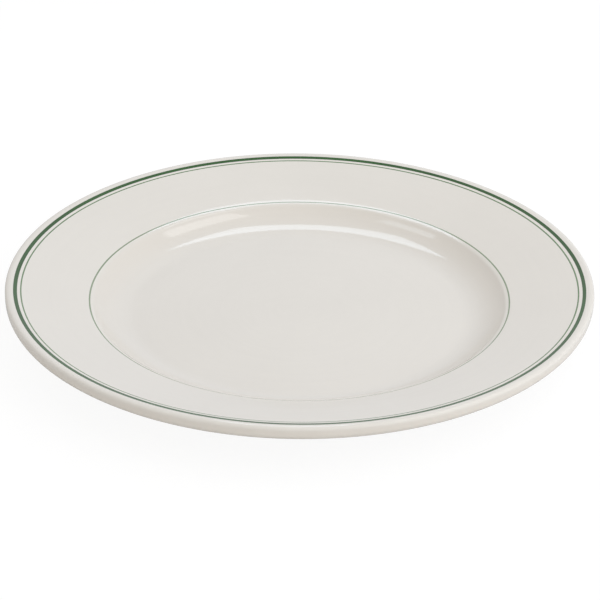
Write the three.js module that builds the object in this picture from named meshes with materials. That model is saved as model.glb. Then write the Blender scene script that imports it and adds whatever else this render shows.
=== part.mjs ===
// Dinner plate: a wide-rim, rolled-edge plate of vitrified hotel china with three green bands.
// Millimetres, +Z up. The origin is the centre of the foot ring's bearing plane, so the plate
// stands on z = 0.
//
// A plate comes out of the kiln as one piece, so its parts are the layers it is made from:
//   china_body          the clay body: well, cove, verge, rim, rolled edge and foot ring
//   outer_glaze         the glaze over the face, round the edge and down the back to the dry foot
//   base_glaze          the glaze in the recess inside the foot ring, parted off by the dry foot
//   wide_green_band     the wide colour band beside the rolled edge, sunk in the glaze
//   rim_hairline        the fine line just inside the wide band
//   verge_hairline      the fine line where the rim turns down into the well
// Every piece is a body of revolution about Z, made from one shared section. Each layer keeps a
// hair of clearance to the layer under it, so no two solids overlap.
import * as THREE from "three";

// ---- driving dimensions ---------------------------------------------------------------------
const DIAMETER = 266.7; // 10 1/2 in over the rolled edge
const SEGMENTS = 64; // facets round the plate
const GLAZE = 0.25; // thickness of the glaze coat
const BAND_DEPTH = 0.12; // depth of a colour band's seat in the glaze
const CLEARANCE = 0.02; // between one layer and the next

// Slopes are in degrees from the horizontal.
const FLOOR_TOP = 7.78; // well floor above the table
const FLOOR_RADIUS = 74.6; // flat part of the well floor
const COVE_RADIUS = 27.6; // hollow curve from the floor up the wall
const COVE_STEPS = 6;
const WALL_SLOPE = 43.5; // steepest slope of the wall
const VERGE_INNER_RADIUS = 3.0; // the turn from the wall to the rim: tight on the wall side,
const VERGE_INNER_STEPS = 2;
const VERGE_SLOPE = 24.0; // down to this slope,
const VERGE_OUTER_RADIUS = 12.5; // then a slow roll out to the rim
const RIM_SLOPE = 14.4;

// The rolled edge: a small top radius, a short upright side and a fuller radius underneath.
const EDGE_TOP_RADIUS = 1.75;
const EDGE_TOP_ANGLES = [90 + RIM_SLOPE, 90, 62, 34, 0];
const EDGE_UNDER_RADIUS = 3.0;
const EDGE_UNDER_ANGLES = [0, -30, -60, -90, -130];
const EDGE_UNDER_DROP = 3.38; // from the crest down to the centre of the under radius

const BACK_WALL = 6.1; // thickness of the wall behind the cove
const BACK_WALL_SLOPES = [37, 28, 20]; // where the back of the wall is sampled, going inward
const FOOT_OUTER = 80.6; // radii of the foot ring's flat bearing face
const FOOT_INNER = 77.2;
const FOOT_BEVEL = { width: 0.3, height: 0.22 }; // on both sides of the bearing face
const DRY_FOOT = 0.9; // the glaze stops this high above the table
const RECESS_TOP = 2.1; // underside of the well inside the foot ring

// Inner and outer radius of each colour band.
const WIDE_BAND = [127.85, 129.65];
const RIM_LINE = [125.92, 126.48];
const VERGE_LINE = [95.45, 95.87];

// ---- materials ------------------------------------------------------------------------------
function makeMaterial({ name, color, roughness }) {
  const material = new THREE.MeshStandardMaterial({ color, roughness, metalness: 0 });
  material.name = name;
  return material;
}
const bisque = makeMaterial({ name: "bisque", color: 0xe6e0d5, roughness: 0.85 });
const glaze = makeMaterial({ name: "glaze", color: 0xe9e5dc, roughness: 0.12 });
const green = makeMaterial({ name: "green_band", color: 0x3c6843, roughness: 0.15 });
const lightGreen = makeMaterial({ name: "green_hairline", color: 0x6f9a68, roughness: 0.15 });

// ---- section helpers: a section is a list of [radius, z] ------------------------------------
const radians = THREE.MathUtils.degToRad;

// The point at a distance from a centre, its angle taken from outward (0) towards up (90).
const polar = ([radius, z], distance, angle) => [
  radius + distance * Math.cos(radians(angle)),
  z + distance * Math.sin(radians(angle)),
];
const pointsAt = (centre, arcRadius, angles) =>
  angles.map((angle) => polar(centre, arcRadius, angle));
const arc = (centre, arcRadius, from, to, steps) =>
  Array.from({ length: steps + 1 }, (_, i) =>
    polar(centre, arcRadius, from + ((to - from) * i) / steps),
  );

// Moves a section into the clay, which is on the right when travelling out over the face, round
// the edge and back underneath, or from the foot in to the axis. Points on the axis stay on it.
function inset(section, distance) {
  return section.map(([radius, z], i) => {
    const [radius0, z0] = section[Math.max(i - 1, 0)];
    const [radius1, z1] = section[Math.min(i + 1, section.length - 1)];
    const length = Math.hypot(radius1 - radius0, z1 - z0);
    return [
      radius === 0 ? 0 : radius + ((z1 - z0) / length) * distance,
      z - ((radius1 - radius0) / length) * distance,
    ];
  });
}

// ---- the face: cove, verge and rim, each curve tangent to the next --------------------------
const coveCentre = [FLOOR_RADIUS, FLOOR_TOP + COVE_RADIUS];
const cove = arc(coveCentre, COVE_RADIUS, -90, -90 + WALL_SLOPE, COVE_STEPS);

const innerCentre = polar(cove.at(-1), -VERGE_INNER_RADIUS, 90 + WALL_SLOPE);
const outerCentre = polar(
  innerCentre,
  VERGE_INNER_RADIUS - VERGE_OUTER_RADIUS,
  90 + VERGE_SLOPE,
);
const vergeInner = arc(
  innerCentre,
  VERGE_INNER_RADIUS,
  90 + WALL_SLOPE,
  90 + VERGE_SLOPE,
  VERGE_INNER_STEPS,
);
const rimStart = polar(outerCentre, VERGE_OUTER_RADIUS, 90 + RIM_SLOPE);

// Height of the face at a radius: on the rim, on the verge's outer roll, and on either.
const rimZ = (radius) => rimStart[1] + (radius - rimStart[0]) * Math.tan(radians(RIM_SLOPE));
const vergeZ = (radius) =>
  outerCentre[1] + Math.sqrt(VERGE_OUTER_RADIUS ** 2 - (radius - outerCentre[0]) ** 2);
const faceZ = (radius) => (radius > rimStart[0] ? rimZ(radius) : vergeZ(radius));

// ---- the rolled edge ------------------------------------------------------------------------
const topRadius = DIAMETER / 2 - EDGE_TOP_RADIUS;
const topZ = rimZ(topRadius) - EDGE_TOP_RADIUS / Math.cos(radians(RIM_SLOPE));
const underCentre = [
  DIAMETER / 2 - EDGE_UNDER_RADIUS,
  topZ + EDGE_TOP_RADIUS - EDGE_UNDER_DROP,
];
const edge = [
  ...pointsAt([topRadius, topZ], EDGE_TOP_RADIUS, EDGE_TOP_ANGLES),
  ...pointsAt(underCentre, EDGE_UNDER_RADIUS, EDGE_UNDER_ANGLES),
];

// ---- the colour bands and their seats -------------------------------------------------------
// Four points: the inner end on the face, down, across, and up to the outer end on the face.
function groove(innerRadius, outerRadius, depth) {
  const inner = [innerRadius, faceZ(innerRadius)];
  const outer = [outerRadius, faceZ(outerRadius)];
  return [inner, ...inset([inner, outer], depth), outer];
}

// A seat is a shallow groove in the glaze; the band in it is flush with the face.
const makeBand = ([inner, outer]) => ({
  band: groove(inner, outer, BAND_DEPTH - CLEARANCE),
  seat: groove(inner - CLEARANCE, outer + CLEARANCE, BAND_DEPTH),
});
const vergeLine = makeBand(VERGE_LINE);
const rimLine = makeBand(RIM_LINE);
const wideBand = makeBand(WIDE_BAND);

// ---- the finished outer surface, in stretches -----------------------------------------------
// The face from the axis out; crossSeat gives the points that cross each seat.
const throughSeat = ({ seat }) => seat;
const overSeat = ({ seat }) => [seat[0], seat[3]];
const makeFace = (crossSeat) => [
  [0, FLOOR_TOP],
  [FLOOR_RADIUS / 2, FLOOR_TOP],
  ...cove,
  ...vergeInner.slice(1), // its first point ends the cove
  ...crossSeat(vergeLine),
  rimStart,
  ...crossSeat(rimLine),
  ...crossSeat(wideBand),
];

// The back from the rolled edge in to the dry foot, as [radius, z].
const back = [
  [125.2, 20.08], // hollow under the rolled edge
  [112.0, 16.2],
  [102.6, 13.27],
  [99.2, 11.5], // shoulder
  ...pointsAt(coveCentre, COVE_RADIUS + BACK_WALL, BACK_WALL_SLOPES.map((slope) => slope - 90)),
  [83.6, 3.0], // foot ring, outer side
  [82.1, 2.15],
  [81.55, DRY_FOOT],
];
const dryFoot = [
  [FOOT_OUTER + FOOT_BEVEL.width, FOOT_BEVEL.height],
  [FOOT_OUTER, 0],
  [FOOT_INNER, 0],
  [FOOT_INNER - FOOT_BEVEL.width, FOOT_BEVEL.height],
];
// The recess from the dry foot in to the axis, as [radius, z].
const base = [
  [76.25, DRY_FOOT],
  [75.3, 1.85],
  [73.6, RECESS_TOP],
  [37.0, RECESS_TOP],
  [0, RECESS_TOP],
];

// ---- the solids -----------------------------------------------------------------------------
const plate = new THREE.Group();
plate.name = "dinner_plate";

// A section runs anticlockwise with radius to the right and z up, so that its faces point out.
function addPiece(name, section, material) {
  const points = section.map(([radius, z]) => new THREE.Vector2(radius, z));
  const geometry = new THREE.LatheGeometry(points, SEGMENTS).rotateX(Math.PI / 2);
  const mesh = new THREE.Mesh(geometry, material);
  mesh.name = name;
  plate.add(mesh);
}

// The underside of the glaze, and the clay beneath it, pass straight under the seats.
const outerSkin = [...makeFace(overSeat), ...edge, ...back];
const clay = [
  ...inset(outerSkin, GLAZE + CLEARANCE),
  ...dryFoot,
  ...inset(base, GLAZE + CLEARANCE),
];
addPiece("china_body", clay.reverse(), bisque);

const glazedSurface = [...makeFace(throughSeat), ...edge, ...back];
addPiece("outer_glaze", [...inset(outerSkin, GLAZE), ...glazedSurface.reverse()], glaze);
addPiece("base_glaze", [...base.toReversed(), ...inset(base, GLAZE)], glaze);

// A band's section clears the axis, so it is closed by repeating its first point.
const addBand = (name, { band }, material) => addPiece(name, [...band, band[0]], material);
addBand("wide_green_band", wideBand, green);
addBand("rim_hairline", rimLine, lightGreen);
addBand("verge_hairline", vergeLine, lightGreen);

export default plate;
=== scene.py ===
# China dinner plate with a wide green line and two fine ones.
# It lies face up, centred on the z axis, with its foot on the floor at z = 0; the camera is on the -y side.
# The CAD frame gives the plate's size. Each layer is a finely divided solid of revolution with the small
# faults of a real jiggered, hand-lined and glazed plate. Sections are (r, z) points in millimetres.
import math
from dataclasses import dataclass
from typing import Callable

import bpy
import numpy as np
from mathutils import Matrix, Vector


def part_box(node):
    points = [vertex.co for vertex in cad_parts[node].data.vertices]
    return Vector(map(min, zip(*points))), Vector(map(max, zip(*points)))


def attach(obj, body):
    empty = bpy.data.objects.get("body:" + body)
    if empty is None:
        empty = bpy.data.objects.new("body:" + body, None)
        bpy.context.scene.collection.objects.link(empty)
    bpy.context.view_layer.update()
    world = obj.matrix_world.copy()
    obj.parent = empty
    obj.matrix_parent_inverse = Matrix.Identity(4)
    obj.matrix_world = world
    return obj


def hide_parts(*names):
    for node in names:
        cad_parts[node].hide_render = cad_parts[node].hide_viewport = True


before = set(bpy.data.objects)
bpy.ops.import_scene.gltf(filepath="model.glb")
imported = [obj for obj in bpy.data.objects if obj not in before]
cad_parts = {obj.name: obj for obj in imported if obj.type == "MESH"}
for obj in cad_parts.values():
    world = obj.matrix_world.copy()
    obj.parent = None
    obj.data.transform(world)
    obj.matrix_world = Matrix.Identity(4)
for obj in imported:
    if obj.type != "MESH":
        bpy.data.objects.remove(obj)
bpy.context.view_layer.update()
MM = 0.001

# ---------------------------------------------------------------------------------------------------
# Sizes, in millimetres and degrees. The first three are read from the CAD pieces.
# ---------------------------------------------------------------------------------------------------
glaze_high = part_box("outer_glaze")[1]
RADIUS = glaze_high.x / MM  # over the rolled edge
HEIGHT = glaze_high.z / MM
DRY_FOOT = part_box("base_glaze")[0].z / MM  # below this height the foot is unglazed

FLOOR_TOP = 7.78
FLOOR_RADIUS = 74.6
COVE_RADIUS = 27.6
WALL_DEG = 43.15
VERGE_INNER = 3.0  # the wall's end turns over tightly to this slope,
VERGE_DEG = 24.0
VERGE_OUTER = 19.0  # then rolls slowly out to the rim
RIM_DEG = 14.4

CREST = 4.0  # the rolled edge is flattest over its crest,
CREST_FALL = 10.0  # and past this slope it turns down tightly
CREST_DROP = 0.078
EDGE_TOP = 1.3
EDGE_UNDER = 3.0
UNDER_DROP = 3.38

BACK_WALL = 6.1  # thickness of the well's wall
FOOT_OUTER, FOOT_INNER = 81.55, 76.25  # the foot's two sides where the glaze ends
RECESS_TOP = 2.1

GLAZE = 0.25
GLAZE_LEAST = 0.02
LAYER_GAP = 0.01  # between glaze and clay
LINE_DEPTH = 0.12

SIDES = 384
THETA = np.arange(SIDES) * (2 * math.pi / SIDES)

# UV patches
FACE, BACK, HIDDEN = 0, 1, 2


# ---------------------------------------------------------------------------------------------------
# Painted lines
# ---------------------------------------------------------------------------------------------------
@dataclass
class Line:
    inner: float  # usual radii of its edges
    outer: float
    room: tuple  # clear glaze left inside and outside it, so that its edges have room to stray
    steps: int  # strips across it
    seed: int
    wobble: float
    orders: range  # waves round the plate in each edge's own wobble
    swell: Callable  # how much wider or narrower it is round the plate, as a share of its width
    drift: Callable  # how far it was turned off centre


def rim_drift(turn):
    """Drift of the rim's lines, towards the near right."""
    return 0.06 + 0.13 * np.cos(turn + 0.95)


WIDE_LINE = Line(
    inner=127.85, outer=129.65, room=(0.42, 0.56), steps=8,
    seed=37, wobble=0.035, orders=range(2, 30),
    swell=lambda t: 0.04 - 0.04 * np.cos(t) - 0.015 * np.sin(t) - 0.07 * np.cos(2 * t),
    drift=rim_drift,
)
RIM_LINE = Line(
    inner=125.92, outer=126.48, room=(0.3, 0.34), steps=4,
    seed=23, wobble=0.03, orders=range(2, 40),
    swell=lambda t: 0.16 + 0.05 * np.cos(t - 0.6),
    drift=lambda t: 0.5 * rim_drift(t),
)
VERGE_LINE = Line(
    inner=95.45, outer=95.87, room=(0.42, 0.27), steps=4,
    seed=11, wobble=0.035, orders=range(2, 40),
    swell=lambda t: 0.40 + 0.22 * np.cos(2 * t) - 0.10 * np.cos(t + 0.3),
    drift=lambda t: -0.09 + 0.17 * np.sin(t),  # towards the back
)


# ---------------------------------------------------------------------------------------------------
# Section tools
# ---------------------------------------------------------------------------------------------------
def arc(centre, radius, start, end, steps):
    turns = np.radians(np.linspace(start, end, steps + 1))
    return [(centre[0] + radius * math.cos(t), centre[1] + radius * math.sin(t)) for t in turns]


def along(point, degrees, distance):
    """A point moved along the normal of a slope."""
    slope = math.radians(degrees)
    return (point[0] - distance * math.sin(slope), point[1] + distance * math.cos(slope))


def fillet(points, radii, steps):
    """A polyline with each inner corner rounded to its radius."""
    out = [points[0]]
    for i, radius in enumerate(radii, 1):
        before, corner, after = (np.array(p, float) for p in points[i - 1 : i + 2])
        to_before, to_after = before - corner, after - corner
        len_before, len_after = np.linalg.norm(to_before), np.linalg.norm(to_after)
        to_before, to_after = to_before / len_before, to_after / len_after
        angle = math.acos(float(np.clip(to_before @ to_after, -1, 1)))
        if angle > math.pi - 1e-3:  # already straight
            out.append(tuple(corner))
            continue
        reach = min(radius / math.tan(angle / 2), 0.48 * len_before, 0.48 * len_after)
        radius = reach * math.tan(angle / 2)
        middle = (to_before + to_after) / np.linalg.norm(to_before + to_after)
        centre = corner + middle * (radius / math.sin(angle / 2))
        start = math.atan2(*(corner + to_before * reach - centre)[::-1])
        end = math.atan2(*(corner + to_after * reach - centre)[::-1])
        sweep = (end - start + math.pi) % (2 * math.pi) - math.pi
        for k in range(steps + 1):
            t = start + sweep * k / steps
            out.append((centre[0] + radius * math.cos(t), centre[1] + radius * math.sin(t)))
    out.append(points[-1])
    return out


def refine(points, longest):
    """The same line with no step longer than this."""
    out = [points[0]]
    for a, b in zip(points, points[1:]):
        n = max(1, math.ceil(math.dist(a, b) / longest - 1e-6))
        out += [
            (a[0] + (b[0] - a[0]) * k / n, a[1] + (b[1] - a[1]) * k / n) for k in range(1, n + 1)
        ]
    return out


def inset(points, distances):
    """A section moved into the clay by a distance for each point; the clay is on its right."""
    p = np.array(points, float)
    run = np.vstack([p[1:], p[-1:]]) - np.vstack([p[:1], p[:-1]])
    run /= np.linalg.norm(run, axis=1)[:, None]
    moved = p + np.stack([run[:, 1], -run[:, 0]], 1) * np.array(distances)[:, None]
    moved[p[:, 0] < 1e-9, 0] = 0.0
    return [tuple(q) for q in moved]


def smooth(x):
    x = np.clip(x, 0, 1)
    return x * x * (3 - 2 * x)


# ---------------------------------------------------------------------------------------------------
# The face, from the axis out to the rolled edge
# ---------------------------------------------------------------------------------------------------
cove_centre = (FLOOR_RADIUS, FLOOR_TOP + COVE_RADIUS)
wall_top = along(cove_centre, WALL_DEG, -COVE_RADIUS)
inner_centre = along(wall_top, WALL_DEG, -VERGE_INNER)
outer_centre = along(inner_centre, VERGE_DEG, VERGE_INNER - VERGE_OUTER)
verge_turn = along(outer_centre, VERGE_DEG, VERGE_OUTER)
rim_start = along(outer_centre, RIM_DEG, VERGE_OUTER)
rim_slope = math.tan(math.radians(RIM_DEG))

# the crest's circle meets the tighter one outside it where the slope is CREST_FALL
top_r = RADIUS - EDGE_TOP
crest_centre = (
    top_r - (CREST - EDGE_TOP) * math.sin(math.radians(CREST_FALL)),
    HEIGHT - CREST_DROP - CREST,
)
top_centre = (top_r, crest_centre[1] + (CREST - EDGE_TOP) * math.cos(math.radians(CREST_FALL)))
under_centre = (RADIUS - EDGE_UNDER, HEIGHT - UNDER_DROP)
edge_start = along(crest_centre, RIM_DEG, CREST)


def face_z(r):
    """Height of the glazed face at radius r, from the verge outwards."""
    if r > edge_start[0]:
        return crest_centre[1] + math.sqrt(max(0.0, CREST**2 - (r - crest_centre[0]) ** 2))
    if r > rim_start[0]:
        return rim_start[1] + (r - rim_start[0]) * rim_slope
    if r > verge_turn[0]:
        return outer_centre[1] + math.sqrt(VERGE_OUTER**2 - (r - outer_centre[0]) ** 2)
    return inner_centre[1] + math.sqrt(VERGE_INNER**2 - (r - inner_centre[0]) ** 2)


def face_slope(r):
    return (face_z(r + 0.02) - face_z(r - 0.02)) / 0.04


def face_run(start, end, steps):
    """Points of the face between two radii, closer together at both ends."""
    share = 0.5 - 0.5 * np.cos(np.linspace(0, math.pi, steps + 1))
    return [(r, face_z(r)) for r in start + (end - start) * share]


def clear_inside(line):
    return line.inner - line.room[0]


def clear_outside(line):
    return line.outer + line.room[1]


# rings of the well's floor, as shares of its radius
FLOOR_SHARES = np.array([
    0, 0.012, 0.03, 0.06, 0.1, 0.16, 0.24, 0.33, 0.42, 0.5,
    0.58, 0.66, 0.73, 0.79, 0.85, 0.9, 0.94, 0.97, 0.99,
])
floor_run = [(r, FLOOR_TOP) for r in FLOOR_RADIUS * FLOOR_SHARES]
cove_run = arc(cove_centre, COVE_RADIUS, -90, -90 + WALL_DEG, 30)
verge_in = arc(inner_centre, VERGE_INNER, 90 + WALL_DEG, 90 + VERGE_DEG, 6)[:-1]
verge_in += face_run(verge_turn[0], clear_inside(VERGE_LINE), 4)
verge_out = face_run(clear_outside(VERGE_LINE), rim_start[0], 3)[:-1]
rim_run = face_run(rim_start[0], clear_inside(RIM_LINE), 22)
between_lines = face_run(clear_outside(RIM_LINE), clear_inside(WIDE_LINE), 2)
outside_lines = face_run(clear_outside(WIDE_LINE), edge_start[0], 2)[:-1]
edge_top = arc(crest_centre, CREST, 90 + RIM_DEG, 90 - CREST_FALL, 12)
edge_top += arc(top_centre, EDGE_TOP, 90 - CREST_FALL, 24, 8)[1:]
edge_side = arc(top_centre, EDGE_TOP, 24, 0, 4)
edge_side += [(RADIUS, 0.5 * (top_centre[1] + under_centre[1]))]
edge_side += arc(under_centre, EDGE_UNDER, 0, -130, 24)

# ---------------------------------------------------------------------------------------------------
# The back: hollow behind the rolled edge, underside of the rim, shoulder, wall, foot, recess
# ---------------------------------------------------------------------------------------------------
back_wall = arc(cove_centre, COVE_RADIUS + BACK_WALL, -52, -72, 10)
underside = fillet([edge_side[-1], (126.4, 20.4), (101.09, 12.98), back_wall[0]], [3.0, 26], 9)
foot_side = fillet([back_wall[-1], (82.35, 2.62), (FOOT_OUTER, DRY_FOOT)], [1.3], 7)
dry_foot = fillet(
    [(FOOT_OUTER, DRY_FOOT), (81.0, 0.0), (76.8, 0.0), (FOOT_INNER, DRY_FOOT)], [0.75, 0.75], 7
)
recess = fillet([(FOOT_INNER, DRY_FOOT), (75.55, RECESS_TOP), (0.0, RECESS_TOP)], [1.4], 8)
back_run = refine(underside, 2.2)[1:] + back_wall[1:] + refine(foot_side, 0.6)[1:]
recess_run = refine(recess[:-1], 0.5)
recess_run += [(r, RECESS_TOP) for r in (72, 68, 62, 55, 47, 38, 29, 20, 12, 6, 2, 0)]


# ---------------------------------------------------------------------------------------------------
# The faults of a real plate. All are sums of a few fixed waves, so every run is the same.
# ---------------------------------------------------------------------------------------------------
def waves(seed, orders, falloff):
    rng = np.random.default_rng(seed)
    total = np.zeros_like(THETA)
    for k in orders:
        total += rng.normal() * np.cos(k * THETA + rng.uniform(0, 2 * math.pi)) / k**falloff
    return total


def settle(x, y, z):
    """The fired plate isn't quite flat or round: the rim lifts and dips by about half a millimetre."""
    r = np.hypot(x, y)
    t = np.arctan2(y, x)
    out = smooth((r - 82.0) / 50.0)
    lift = 0.13 * np.cos(t + 0.69) + 0.28 * np.cos(2 * t + 2.62) + 0.22 * np.cos(3 * t + 1.36)
    spread = out * (0.03 * np.cos(2 * t - 0.4) + 0.015 * np.cos(4 * t + 1.3))
    # the well's floor sags a hair towards the middle
    sag = smooth((z - 4.0) / 3.0) * 0.06 * np.clip(1 - (r / 74.0) ** 2, 0, 1)
    scale = 1 + np.where(r > 1e-6, spread / np.maximum(r, 1e-6), 0)
    return x * scale, y * scale, z + out * lift - sag


def edge_stray(line, side):
    """How far a line's inner (0) or outer (1) edge strays from its circle as the brush rides round."""
    common = waves(line.seed, range(1, 7), 0.8)
    own = waves(line.seed + 1 + side, line.orders, 0.35)
    half = 0.5 * (line.outer - line.inner) * line.swell(THETA)
    wobble = line.wobble * (0.6 * common / 2.0 + 0.4 * own / 2.4)
    return wobble + line.drift(THETA) + (half if side else -half)


# ---------------------------------------------------------------------------------------------------
# Solids of revolution
# ---------------------------------------------------------------------------------------------------
def ring_points(r, z, tag):
    """One turn of a section point; a tag is a line and how far the ring lies across it, 0 to 1."""
    if r < 1e-9:
        return np.array([[0.0, 0.0, z]])
    radii, heights = np.full(SIDES, r), np.full(SIDES, z)
    if tag:
        line, share = tag
        stray = (1 - share) * edge_stray(line, 0) + share * edge_stray(line, 1)
        radii = radii + stray
        heights = heights + stray * face_slope(r)
    return np.stack([radii * np.cos(THETA), radii * np.sin(THETA), heights], 1)


def revolve(name, section, zones, uv, tags=None, sharp=(), across=None):
    """A closed solid of revolution.
    section: (r, z) list, anticlockwise, from the axis back to the axis or a loop.
    zones: the UV patch of each ring-to-ring strip. tags: see ring_points. sharp: hard-edged rings.
    across: a value for each ring, kept as an attribute."""
    count = len(section)
    rings = [ring_points(r, z, tag) for (r, z), tag in zip(section, tags or [None] * count)]
    sizes = [len(ring) for ring in rings]
    starts = np.cumsum([0] + sizes[:-1])
    x, y, z = np.concatenate(rings).T
    points = np.stack(settle(x, y, z), 1) * MM

    faces = []
    k = np.arange(SIDES)
    k1 = (k + 1) % SIDES
    none = np.full(SIDES, -1)  # marks a triangle
    is_loop = section[0][0] > 1e-9
    strips = count if is_loop else count - 1
    for i in range(strips):
        j = (i + 1) % count
        a, b = starts[i], starts[j]
        if sizes[i] == 1:
            corners = [np.full(SIDES, a), b + k1, b + k, none]
        elif sizes[j] == 1:
            corners = [a + k, a + k1, np.full(SIDES, b), none]
        else:
            corners = [a + k, a + k1, b + k1, b + k]
        faces.append(np.stack(corners, 1))
    faces = np.concatenate(faces)
    mesh = bpy.data.meshes.new(name)
    mesh.from_pydata(points.tolist(), [], [[int(v) for v in f if v >= 0] for f in faces])
    mesh.polygons.foreach_set("use_smooth", np.ones(len(mesh.polygons), bool))

    if sharp:
        ring_of = np.repeat(np.arange(count), sizes)
        ends = np.zeros(len(mesh.edges) * 2, int)
        mesh.edges.foreach_get("vertices", ends)
        first, second = ring_of[ends.reshape(-1, 2)].T
        hard = (first == second) & np.isin(first, list(sharp))
        mesh.attributes.new("sharp_edge", "BOOLEAN", "EDGE").data.foreach_set("value", hard)
    if across is not None:
        values = np.repeat(across, sizes).astype(np.float32)
        mesh.attributes.new("across", "FLOAT", "POINT").data.foreach_set("value", values)

    layer = mesh.uv_layers.new(name="OFBake")
    loop_points = np.zeros(len(mesh.loops), int)
    mesh.loops.foreach_get("vertex_index", loop_points)
    face_of_loop = np.repeat(np.arange(len(faces)), (faces >= 0).sum(1))
    zone = np.array(zones)[face_of_loop // SIDES]
    coords = uv(points[loop_points] / MM, zone, face_of_loop % SIDES)
    layer.data.foreach_set("uv", coords.astype(np.float32).ravel())
    mesh.validate()
    obj = bpy.data.objects.new(name, mesh)
    bpy.context.scene.collection.objects.link(obj)
    return obj


# Plan-view discs in the UV square: centre u, centre v, radius, and the sign of y
UV_DISCS = {
    FACE: (0.345, 0.345, 0.335, 1),
    BACK: (0.765, 0.765, 0.225, -1),
    HIDDEN: (0.93, 0.07, 0.06, -1),
}
UV_ROWS = 8


def uv_discs(points, zone, sector):
    """Plan view: the face as one large disc, the back as a smaller one, hidden surfaces in a corner."""
    x, y = points[:, 0] / (RADIUS + 0.6), points[:, 1] / (RADIUS + 0.6)
    out = np.zeros((len(points), 2))
    for patch, (u, v, size, sign) in UV_DISCS.items():
        here = zone == patch
        out[here, 0] = u + size * x[here]
        out[here, 1] = v + size * sign * y[here]
    return out


def uv_strips(inner, outer):
    """The UV layout of a ring unrolled into rows, each row an eighth of the way round."""

    def layout(points, zone, sector):
        per_row = SIDES // UV_ROWS
        row = sector // per_row
        t = np.arctan2(points[:, 1], points[:, 0]) % (2 * math.pi)
        middle = (sector + 0.5) * (2 * math.pi / SIDES)
        t = middle + (t - middle + math.pi) % (2 * math.pi) - math.pi
        u = (t / (2 * math.pi) * SIDES - row * per_row) / per_row
        r = np.hypot(points[:, 0], points[:, 1])
        v = np.clip((r - inner) / (outer - inner), 0, 1)
        in_row = np.where(zone == FACE, 0.06 + 0.66 * v, 0.78 + 0.16 * v)
        return np.stack([0.01 + 0.98 * u, (row + in_row) / UV_ROWS], 1)

    return layout


# ---- outer glaze ------------------------------------------------------------------------------------
def seat_points(line):
    """A line's seat in the glaze: inner edge, the bottom's two corners, outer edge."""
    a, b = (line.inner, face_z(line.inner)), (line.outer, face_z(line.outer))
    depth = LINE_DEPTH / math.dist(a, b)
    dr, dz = (b[1] - a[1]) * depth, -(b[0] - a[0]) * depth
    return a, (a[0] + dr, a[1] + dz), (b[0] + dr, b[1] + dz), b


def stretch(points, zone=FACE):
    """Rings of plain skin: point, UV patch, no tag."""
    return [(point, zone, None) for point in points]


def seat(line):
    """Rings of a line's seat, two on its inner edge and two on its outer."""
    return [(point, FACE, (line, i // 2)) for i, point in enumerate(seat_points(line))]


def glaze_depth(z, fade):
    """The glaze thins out to its end at the dry foot, over this height."""
    return max(GLAZE_LEAST, GLAZE * float(smooth((z - DRY_FOOT) / fade)))


skin = (
    stretch(floor_run + cove_run + verge_in[1:])
    + seat(VERGE_LINE)
    + stretch(verge_out + rim_run)
    + seat(RIM_LINE)
    + stretch(between_lines)
    + seat(WIDE_LINE)
    + stretch(outside_lines + edge_top)
    + stretch(edge_side[1:] + back_run, BACK)
)[::-1]

# the same skin without the seats and with fewer rings, for the hidden surfaces
plain_skin = (
    floor_run[::2]
    + cove_run[::3]
    + verge_in[1:-1:2]
    + [(r, face_z(r)) for r in np.linspace(rim_start[0], edge_start[0], 10)]
    + edge_top[2::3]
    + edge_side[3::4]
    + back_run[2::3]
    + [back_run[-1]]
)
outer_depths = [glaze_depth(z, 1.1) if 76 < r < 84 and z < 3 else GLAZE for r, z in plain_skin]
glaze_inner = inset(plain_skin, outer_depths)
inner_count = len(glaze_inner)
outer_glaze = revolve(
    "glaze_coat",
    glaze_inner + [point for point, _, _ in skin],
    [HIDDEN] * inner_count + [zone for _, zone, _ in skin],
    uv_discs,
    tags=[None] * inner_count + [tag for _, _, tag in skin],
    sharp=[inner_count - 1, inner_count]
    + [inner_count + i for i, (_, _, tag) in enumerate(skin) if tag],
)

# ---- base glaze, in the recess inside the foot ------------------------------------------------------
base_inner = inset(recess_run, [glaze_depth(z, 0.9) for r, z in recess_run])
base_inner = base_inner[:1] + base_inner[2::2]
if base_inner[-1][0] > 1e-9:  # thinning the rings may have dropped the one on the axis
    base_inner.append((0.0, RECESS_TOP + GLAZE))
base_glaze = revolve(
    "base_glaze_coat",
    recess_run[::-1] + base_inner,
    [BACK] * len(recess_run) + [HIDDEN] * len(base_inner),
    uv_discs,
    sharp=[len(recess_run) - 1, len(recess_run)],
)

# ---- clay body --------------------------------------------------------------------------------------
clay_top = inset(plain_skin, [depth + LAYER_GAP for depth in outer_depths])
clay_under = [(r, z + LAYER_GAP) for r, z in base_inner][::-1] + dry_foot[::-1][1:-1]
clay_body = revolve(
    "fired_clay_body",
    clay_under + clay_top[::-1],
    [BACK] * len(clay_under) + [HIDDEN] * len(clay_top),
    uv_discs,
)


# ---- painted lines ----------------------------------------------------------------------------------
def painted(name, line):
    """A line filling its seat; the rings between its two edges follow them in proportion."""
    shares = np.linspace(0, 1, line.steps + 1)[::-1]
    radii = line.inner + (line.outer - line.inner) * shares
    _, bottom_in, bottom_out, _ = seat_points(line)
    across = [0.0, 1.0] + list(shares)
    return revolve(
        name,
        [bottom_in, bottom_out] + [(r, face_z(r)) for r in radii],
        [HIDDEN, HIDDEN] + [FACE] * line.steps + [HIDDEN],
        uv_strips(line.inner - 0.1, line.outer + 0.1),
        tags=[(line, share) for share in across],
        sharp=(0, 1, 2, line.steps + 2),
        across=across,
    )


wide_line = painted("wide_green_line", WIDE_LINE)
rim_line = painted("fine_green_rim_line", RIM_LINE)
verge_line = painted("fine_green_well_line", VERGE_LINE)


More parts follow.
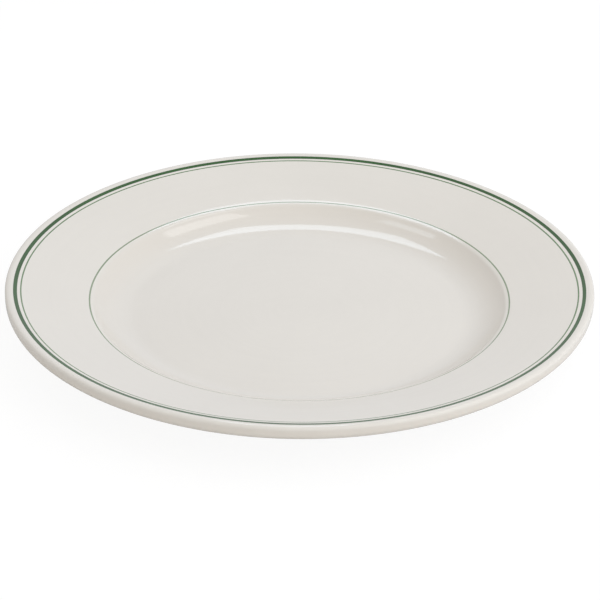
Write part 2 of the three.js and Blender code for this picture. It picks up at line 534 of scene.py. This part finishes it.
# ---------------------------------------------------------------------------------------------------
# Materials
# ---------------------------------------------------------------------------------------------------
def srgb(*channels):
    shares = [c / 255 for c in channels]
    return tuple(c / 12.92 if c <= 0.04045 else ((c + 0.055) / 1.055) ** 2.4 for c in shares) + (1.0,)


class Shader:
    """Short ways to add nodes to a tree. An input may be a value or another node's output."""

    def __init__(self, tree):
        self.tree = tree

    def feed(self, node, inputs):
        for key, value in inputs.items():
            socket = node.inputs[key]
            if isinstance(value, bpy.types.NodeSocket):
                self.tree.links.new(value, socket)
            else:
                socket.default_value = value

    def node(self, kind, inputs=None, **properties):
        node = self.tree.nodes.new(kind)
        for key, value in properties.items():
            setattr(node, key, value)
        self.feed(node, inputs or {})
        return node

    def calc(self, operation, a, b=0.0, c=0.0, clamp=False):
        inputs = {0: a, 1: b, 2: c}
        node = self.node("ShaderNodeMath", inputs, operation=operation, use_clamp=clamp)
        return node.outputs[0]

    def weighted_sum(self, *pairs):
        """The sum of (value, weight) pairs."""
        terms = [self.calc("MULTIPLY", value, weight) for value, weight in pairs]
        total = terms.pop()
        while terms:
            total = self.calc("ADD", terms.pop(), total)
        return total

    def noise(self, vector, scale, detail=2.0, rough=0.5):
        inputs = {"Vector": vector, "Scale": scale, "Detail": detail, "Roughness": rough}
        return self.node("ShaderNodeTexNoise", inputs).outputs[0]

    def remap(self, value, span, to=(0.0, 1.0)):
        keys = ("Value", "From Min", "From Max", "To Min", "To Max")
        return self.node("ShaderNodeMapRange", dict(zip(keys, (value, *span, *to)))).outputs[0]

    def mix(self, share, a, b, mode="MIX"):
        inputs = {0: share, 6: a, 7: b}
        return self.node("ShaderNodeMix", inputs, data_type="RGBA", blend_type=mode).outputs[2]

    def ramp(self, share, stops):
        node = self.node("ShaderNodeValToRGB", {"Fac": share})
        elements = node.color_ramp.elements
        while len(elements) < len(stops):
            elements.new(0.5)
        for element, (position, colour) in zip(elements, stops):
            element.position = position
            element.color = colour
        return node.outputs[0]

    def bump(self, height, distance, strength=1.0):
        inputs = {"Height": height, "Distance": distance, "Strength": strength}
        return self.node("ShaderNodeBump", inputs).outputs[0]

    def object_mm(self):
        """Object coordinates in millimetres."""
        place = self.node("ShaderNodeTexCoord").outputs["Object"]
        inputs = {0: place, "Scale": 1000.0}
        return self.node("ShaderNodeVectorMath", inputs, operation="SCALE").outputs[0]

    def polar(self, place, around, outwards):
        """Coordinates that run round the plate and across it, so that noise stretches along the
        wheel's turn; also the radius and the separate x, y, z."""
        xyz = self.node("ShaderNodeSeparateXYZ", {0: place}).outputs
        x_squared = self.calc("MULTIPLY", xyz[0], xyz[0])
        r = self.calc("SQRT", self.calc("MULTIPLY_ADD", xyz[1], xyz[1], x_squared))
        safe = self.calc("MAXIMUM", r, 0.001)
        inputs = {
            0: self.calc("MULTIPLY", self.calc("DIVIDE", xyz[0], safe), around),
            1: self.calc("MULTIPLY", self.calc("DIVIDE", xyz[1], safe), around),
            2: self.calc("MULTIPLY", r, outwards),
        }
        return self.node("ShaderNodeCombineXYZ", inputs).outputs[0], r, xyz


def new_material(name):
    material = bpy.data.materials.new(name)
    material.use_nodes = True
    return material, Shader(material.node_tree), material.node_tree.nodes["Principled BSDF"]


GLAZE_COLOUR = (0.800, 0.770, 0.722, 1.0)
GLASS_IOR = 1.5
# the glaze flows level but not flat: a slow swell, in millimetres
SWELL_SCALE, SWELL_HEIGHT = 0.05, 0.008


def tinted(factor):
    return tuple(c * factor for c in GLAZE_COLOUR[:3]) + (1,)


def glaze_material():
    material, s, bsdf = new_material("glazed_ivory_china")
    mm = s.object_mm()
    round_mm, r, xyz = s.polar(mm, around=1.6, outwards=0.45)
    cloud = s.noise(mm, scale=0.018, detail=3.0, rough=0.55)
    fine = s.noise(mm, scale=0.25, detail=3.0, rough=0.6)
    rings = s.noise(round_mm, scale=1.0)
    tone = s.weighted_sum((cloud, 0.6), (fine, 0.15), (rings, 0.25))
    colour = s.ramp(tone, [(0.35, tinted(0.985)), (0.65, tinted(1.012))])
    # tiny iron specks, on a few of the cells
    inputs = {"Vector": mm, "Scale": 0.045, "Randomness": 1.0}
    speck = s.node("ShaderNodeTexVoronoi", inputs, feature="F1")
    dot = s.remap(speck.outputs["Distance"], span=(0.007, 0.012), to=(1.0, 0.0))
    dot = s.calc("MINIMUM", s.calc("MAXIMUM", dot, 0.0), 1.0)
    chance = s.noise(speck.outputs["Position"], scale=3.1, detail=0.0)
    rare = s.calc("GREATER_THAN", chance, 0.56)
    dot = s.calc("MULTIPLY", s.calc("MULTIPLY", dot, rare), 0.35)
    colour = s.mix(dot, colour, srgb(150, 128, 104))
    # painted shade: a touch darker and warmer in the hollow of the well's wall, standing for the warm
    # shadow in the cove
    cove_shade = s.calc(
        "MULTIPLY", s.remap(r, span=(80.0, 89.0)), s.remap(r, span=(93.0, 95.0), to=(1.0, 0.0))
    )
    colour = s.mix(cove_shade, colour, (0.986, 0.974, 0.962, 1.0), "MULTIPLY")
    # painted shade: a touch darker and warmer round the lower outside of the rolled edge, standing for the
    # warm light bounced onto it from below
    below = s.remap(xyz[2], span=(23.4, 24.9), to=(1.0, 0.0))
    thin = s.calc("MULTIPLY", s.remap(r, span=(131.0, 132.6)), below)
    colour = s.mix(thin, colour, (0.982, 0.964, 0.945, 1.0), "MULTIPLY")
    patches = s.noise(mm, scale=0.06, detail=4.0, rough=0.6)
    # over the swell lie turning marks and a faint orange peel
    swell = s.noise(mm, scale=SWELL_SCALE, detail=1.0, rough=0.4)
    peel = s.noise(mm, scale=0.9)
    height = s.weighted_sum((swell, SWELL_HEIGHT), (rings, 0.0018), (peel, 0.0004))
    s.feed(bsdf, {
        "Base Color": colour,
        "Roughness": s.remap(patches, span=(0.3, 0.7), to=(0.05, 0.085)),
        "IOR": GLASS_IOR,
        "Normal": s.bump(height, distance=0.001),
    })
    return material


def bisque_material():
    material, s, bsdf = new_material("bare_fired_clay")
    mm = s.object_mm()
    grain = s.noise(mm, scale=2.6, detail=4.0, rough=0.65)
    blot = s.noise(mm, scale=0.09, detail=3.0, rough=0.6)
    stops = [(0.3, srgb(196, 183, 163)), (0.55, srgb(222, 213, 197)), (0.75, srgb(233, 227, 214))]
    colour = s.ramp(grain, stops)
    blot = s.remap(blot, span=(0.4, 0.75), to=(0.0, 0.35))
    s.feed(bsdf, {
        "Base Color": s.mix(blot, colour, srgb(176, 166, 150)),
        "Roughness": s.remap(grain, span=(0.3, 0.7), to=(0.7, 0.9)),
        "Normal": s.bump(grain, distance=0.00008, strength=0.8),
    })
    return material


def paint_material(name, deep, thin, density):
    """Ceramic colour under a glass-smooth glaze, streaked along the brush's travel: it is denser
    towards the line's edges, and fades a little into the glaze at the very edge."""
    material, s, bsdf = new_material(name)
    mm = s.object_mm()
    streak = s.noise(s.polar(mm, around=22.0, outwards=4.0)[0], scale=1.0, detail=3.0, rough=0.6)
    slow = s.noise(s.polar(mm, around=3.0, outwards=0.2)[0], scale=1.0)
    across = s.node("ShaderNodeAttribute", attribute_name="across").outputs["Fac"]
    off_middle = s.calc("ABSOLUTE", s.calc("SUBTRACT", across, 0.5))
    edge = s.calc("MULTIPLY", off_middle, 2.0)
    pool = s.calc("MULTIPLY", s.calc("POWER", edge, 4.0), 0.22)
    body = s.calc(
        "ADD",
        s.remap(streak, span=(0.3, 0.7), to=(-0.10, 0.12)),
        s.remap(slow, span=(0.3, 0.7), to=(-0.10, 0.10)),
    )
    dense = s.calc("ADD", s.calc("ADD", body, pool), density, clamp=True)
    colour = s.mix(dense, thin, deep)
    fade = s.calc("MAXIMUM", s.remap(edge, span=(0.90, 1.0), to=(0.0, 0.55)), 0.0)
    swell = s.noise(mm, scale=SWELL_SCALE, detail=1.0, rough=0.4)
    height = s.weighted_sum((swell, SWELL_HEIGHT), (streak, 0.0008))
    s.feed(bsdf, {
        "Base Color": s.mix(fade, colour, GLAZE_COLOUR),
        "Roughness": s.remap(streak, span=(0.3, 0.7), to=(0.06, 0.11)),
        "IOR": GLASS_IOR,
        "Normal": s.bump(height, distance=0.001),
    })
    return material


glaze = glaze_material()
bisque = bisque_material()
wide_paint = paint_material(
    "green_band_colour",
    deep=(0.016, 0.072, 0.015, 1), thin=(0.060, 0.168, 0.049, 1), density=0.72,
)
rim_paint = paint_material(
    "green_rim_line_colour",
    deep=(0.100, 0.190, 0.088, 1), thin=(0.220, 0.315, 0.185, 1), density=0.6,
)
verge_paint = paint_material(
    "green_well_line_colour",
    deep=(0.215, 0.280, 0.180, 1), thin=(0.350, 0.420, 0.310, 1), density=0.6,
)

for piece, material, node, slot in (
    (clay_body, bisque, "china_body", "bisque"),
    (outer_glaze, glaze, "outer_glaze", "glaze"),
    (base_glaze, glaze, "base_glaze", "glaze"),
    (wide_line, wide_paint, "wide_green_band", "green_band"),
    (rim_line, rim_paint, "rim_hairline", "green_hairline"),
    (verge_line, verge_paint, "verge_hairline", "green_hairline"),
):
    piece.data.materials.append(material)
    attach(piece, "root")
    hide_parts(node)

# ---------------------------------------------------------------------------------------------------
# Stage, in metres: a pale floor, soft boxes, the room's light and the camera
# ---------------------------------------------------------------------------------------------------
FLOOR_RINGS = (0.12, 0.3, 0.8, 2.0, 6.0, 20.0, 60.0)
FLOOR_SIDES = 96


def floor_material():
    """Paper lit from behind to nearly white for the camera, which leaves only a faint shadow under
    the plate; what the plate sees of it is the paper's own brightness."""
    material, s, bsdf = new_material("floor_paper")
    tone = s.noise(s.object_mm(), scale=0.01)
    colour = s.ramp(tone, [(0.3, (0.80, 0.80, 0.80, 1)), (0.7, (0.82, 0.82, 0.82, 1))])
    s.feed(bsdf, {"Base Color": colour, "Roughness": 0.9, "Specular IOR Level": 0.0})
    for_camera = s.node("ShaderNodeLightPath").outputs["Is Camera Ray"]
    glow = s.node("ShaderNodeEmission", {"Color": (1, 1, 1, 1), "Strength": 1.06})
    inputs = {0: s.calc("MULTIPLY", for_camera, 0.86), 1: bsdf.outputs[0], 2: glow.outputs[0]}
    lit = s.node("ShaderNodeMixShader", inputs)
    s.feed(s.tree.nodes["Material Output"], {"Surface": lit.outputs[0]})
    return material


def floor_disc():
    points, faces = [(0, 0, 0)], []
    for r in FLOOR_RINGS:
        turns = np.linspace(0, 2 * math.pi, FLOOR_SIDES, endpoint=False)
        points += [(r * math.cos(t), r * math.sin(t), 0) for t in turns]
    for k in range(FLOOR_SIDES):
        k1 = (k + 1) % FLOOR_SIDES
        faces.append((0, 1 + k, 1 + k1))
        for i in range(len(FLOOR_RINGS) - 1):
            a, b = 1 + i * FLOOR_SIDES, 1 + (i + 1) * FLOOR_SIDES
            faces.append((a + k, b + k, b + k1, a + k1))
    mesh = bpy.data.meshes.new("floor")
    mesh.from_pydata(points, [], faces)
    obj = bpy.data.objects.new("floor", mesh)
    bpy.context.scene.collection.objects.link(obj)
    mesh.materials.append(floor_material())


floor_disc()


def direction(azimuth, elevation):
    """Azimuth runs clockwise, seen from above, from straight behind the plate (+y)."""
    az, el = math.radians(azimuth), math.radians(elevation)
    return (math.cos(el) * math.sin(az), math.cos(el) * math.cos(az), math.sin(el))


def pose(x_axis, y_axis, z_axis, position):
    return Matrix((*zip(x_axis, y_axis, z_axis, position), (0, 0, 0, 1)))


def softbox(
    name, azimuth, elevation, distance, size, radiance, colour, turn=0.0, mirrored=True
):
    """A rectangular soft box facing the plate; turn tips it in its own plane.
    An area light's radiance is its power over pi times its area."""
    turn = math.radians(turn)
    away = Vector(direction(azimuth, elevation))
    level = away.cross(Vector((0, 0, 1))).normalized()
    x_axis = math.cos(turn) * level + math.sin(turn) * level.cross(away)
    light = bpy.data.lights.new(name, "AREA")
    light.shape = "RECTANGLE"
    light.size, light.size_y = size
    light.energy = radiance * math.pi * size[0] * size[1]
    light.color = colour
    obj = bpy.data.objects.new(name, light)
    obj.matrix_world = pose(x_axis, away.cross(x_axis), away, away * distance)
    obj.visible_camera = False
    obj.visible_glossy = mirrored
    bpy.context.scene.collection.objects.link(obj)


# The close box hangs behind the plate: its long reflection is the bright arc along the well's far side.
softbox("close_box", azimuth=-2.4, elevation=51.9, distance=0.39, size=(0.094, 0.084), turn=6.5,
        radiance=2.55, colour=(1.0, 1.17, 1.34))
softbox("right_box", azimuth=76.8, elevation=62.85, distance=1.50, size=(0.72, 0.36), turn=47.4,
        radiance=2.0, colour=(1.0, 1.02, 1.02))
softbox("left_box", azimuth=-72.7, elevation=59.7, distance=1.55, size=(0.53, 0.23), turn=-53.1,
        radiance=1.42, colour=(1.0, 1.15, 1.30))
# Three large, close fills light the front and right a little more, and leave no reflection.
softbox("front_right_fill", azimuth=135, elevation=42, distance=0.70, size=(0.49, 0.49),
        radiance=0.88, colour=(1.0, 1.01, 1.05), mirrored=False)
softbox("right_fill", azimuth=95, elevation=30, distance=0.70, size=(0.49, 0.49),
        radiance=0.651, colour=(1.0, 1.02, 1.06), mirrored=False)
softbox("front_fill", azimuth=160, elevation=50, distance=0.80, size=(0.56, 0.56),
        radiance=0.261, colour=(1.0, 1.03, 1.08), mirrored=False)

# The room: even light, stronger from behind and from the right, a little warmer low down in front.
EVEN_LIGHT = (0.538, 0.524, 0.512, 1)
CAMERA_WHITE = (1.02, 1.02, 1.02, 1)
# azimuth, elevation, how tightly the light gathers, colour
GLOWS = (
    (180, 0, 1.0, (0.203, 0.182, 0.128, 1)),
    (12, 20, 5.0, (0.331, 0.352, 0.385, 1)),
    (90, 12, 5.0, (0.127, 0.150, 0.167, 1)),
    (135, 40, 5.0, (0.146, 0.166, 0.203, 1)),
    (125, 2, 4.0, (0.140, 0.150, 0.150, 1)),
)


def build_room():
    world = bpy.data.worlds.new("studio")
    bpy.context.scene.world = world
    world.use_nodes = True
    s = Shader(world.node_tree)
    view = s.node("ShaderNodeTexCoord").outputs["Generated"]
    xyz = s.node("ShaderNodeSeparateXYZ", {0: view}).outputs
    light = EVEN_LIGHT
    for azimuth, elevation, tightness, tint in GLOWS:
        facing = 0.0
        for axis, part in enumerate(direction(azimuth, elevation)):
            facing = s.calc("MULTIPLY_ADD", xyz[axis], part, facing)
        amount = s.calc("POWER", s.calc("MAXIMUM", facing, 0.0), tightness)
        light = s.mix(1.0, light, s.mix(amount, (0, 0, 0, 1), tint), "ADD")
    for_camera = s.node("ShaderNodeLightPath").outputs["Is Camera Ray"]
    colour = s.mix(for_camera, light, CAMERA_WHITE)
    s.feed(s.tree.nodes["Background"], {"Color": colour, "Strength": 1.0})


build_room()

# The camera looks down on the plate from the front, with a slight roll.
EYE = Vector((0.0, -977.26, 538.50)) * MM
TARGET = Vector((0.237, 0.0, 13.302)) * MM
ROLL = math.radians(0.539)


def place_camera():
    data = bpy.data.cameras.new("camera")
    data.sensor_width = 36.0
    data.sensor_fit = "HORIZONTAL"
    data.lens = 145.62
    data.clip_start = 0.05
    data.clip_end = 200.0
    camera = bpy.data.objects.new("camera", data)
    bpy.context.scene.collection.objects.link(camera)
    forward = (TARGET - EYE).normalized()
    level = forward.cross(Vector((0, 0, 1))).normalized()
    upright = level.cross(forward)
    right = math.cos(ROLL) * level + math.sin(ROLL) * upright
    up = -math.sin(ROLL) * level + math.cos(ROLL) * upright
    camera.matrix_world = pose(right, up, -forward, EYE)
    bpy.context.scene.camera = camera


place_camera()

view_settings = bpy.context.scene.view_settings
view_settings.view_transform = "Standard"
view_settings.look = "None"
view_settings.exposure = 0.0
view_settings.gamma = 1.0

bpy.context.view_layer.update()
